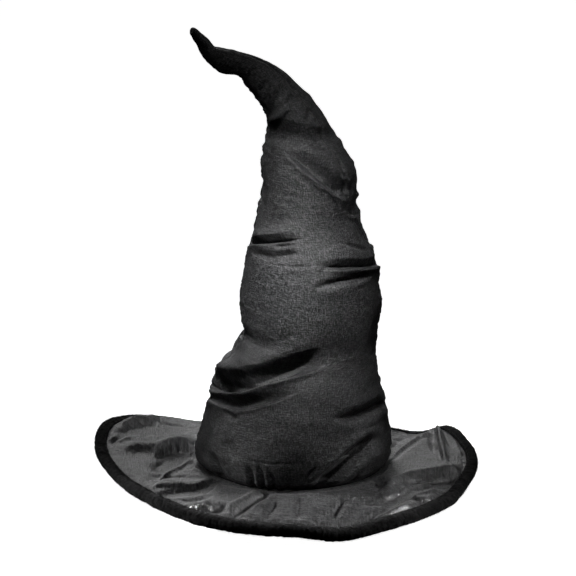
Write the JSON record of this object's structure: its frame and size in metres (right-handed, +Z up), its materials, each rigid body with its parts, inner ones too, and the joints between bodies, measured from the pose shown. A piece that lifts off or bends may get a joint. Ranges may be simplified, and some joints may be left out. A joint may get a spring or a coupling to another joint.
{
  "type": "witch hat",
  "caption": "Slouched black witch hat with a padded satin crown, stiffened wired brim with plush binding, inner sweatband and a wire-spined tail that bends.",
  "frame": {"origin": "centre of the head opening, where the crown meets the brim, on the sweatband's lower edge", "axes": "+Z up through the crown, +X towards the right of the front view, away from the side the tail bends to, +Y from the front of the hat to its back"},
  "size_m": [0.408, 0.3995, 0.5065],
  "materials": {
    "crown_satin": "black satin, soft sheen, fine visible weave",
    "brim_satin": "black satin, higher sheen, folded and tucked",
    "binding_plush": "matte black plush, short fuzzy pile",
    "wadding": "undyed polyester wadding, matte",
    "stiffener": "needle-felt interlining, matte",
    "lining": "black plain-weave lining, matte",
    "sweatband": "black grosgrain ribbon, ribbed",
    "tape": "black cotton bias tape, matte",
    "thread": "black spun polyester thread",
    "label": "blank white woven label",
    "wire": "drawn steel wire, satin",
    "cap": "black soft plastic, matte"
  },
  "bodies": {
    "hat_base": {"brim_top_cover": "brim_satin", "brim_stiffener": "stiffener", "brim_under_cover": "brim_satin", "brim_edge_wire": "wire", "edge_wire_ferrule": "wire", "edge_binding": "binding_plush", "binding_stitching": "thread", "sweatband": "sweatband", "sweatband_stitching": "thread", "headline_tape": "tape", "care_label": "label", "crown_front_panel": "crown_satin", "crown_back_panel": "crown_satin", "crown_wadding_lower": "wadding", "crown_lining": "lining"},
    "crown_upper": {"crown_wadding_upper": "wadding", "neck_stuffing": "wadding", "spine_wire_neck": "wire", "wire_base_cap": "cap", "wire_casing": "tape"},
    "tail": {"tail_stuffing": "wadding", "spine_wire_tail": "wire"},
    "tip": {"tip_stuffing": "wadding", "spine_wire_tip": "wire", "wire_tip_cap": "cap"}
  },
  "joints": [
    {"name": "crown_slouch", "type": "hinge", "parent": "hat_base", "child": "crown_upper", "pos_m": [0.0175, 0, 0.14454], "axis": [0, 1, 0], "range_deg": [-12, 12], "deforming": ["crown_front_panel", "crown_back_panel", "crown_lining"]},
    {"name": "tail_bend", "type": "hinge", "parent": "crown_upper", "child": "tail", "pos_m": [0.0035, 0, 0.37768], "axis": [0, 1, 0], "range_deg": [-35, 45], "deforming": ["crown_front_panel", "crown_back_panel", "wire_casing"]},
    {"name": "tip_curl", "type": "hinge", "parent": "tail", "child": "tip", "pos_m": [-0.09075, 0, 0.45679], "axis": [0, 1, 0], "range_deg": [-50, 50], "deforming": ["crown_front_panel", "crown_back_panel", "wire_casing"]}
  ]
}
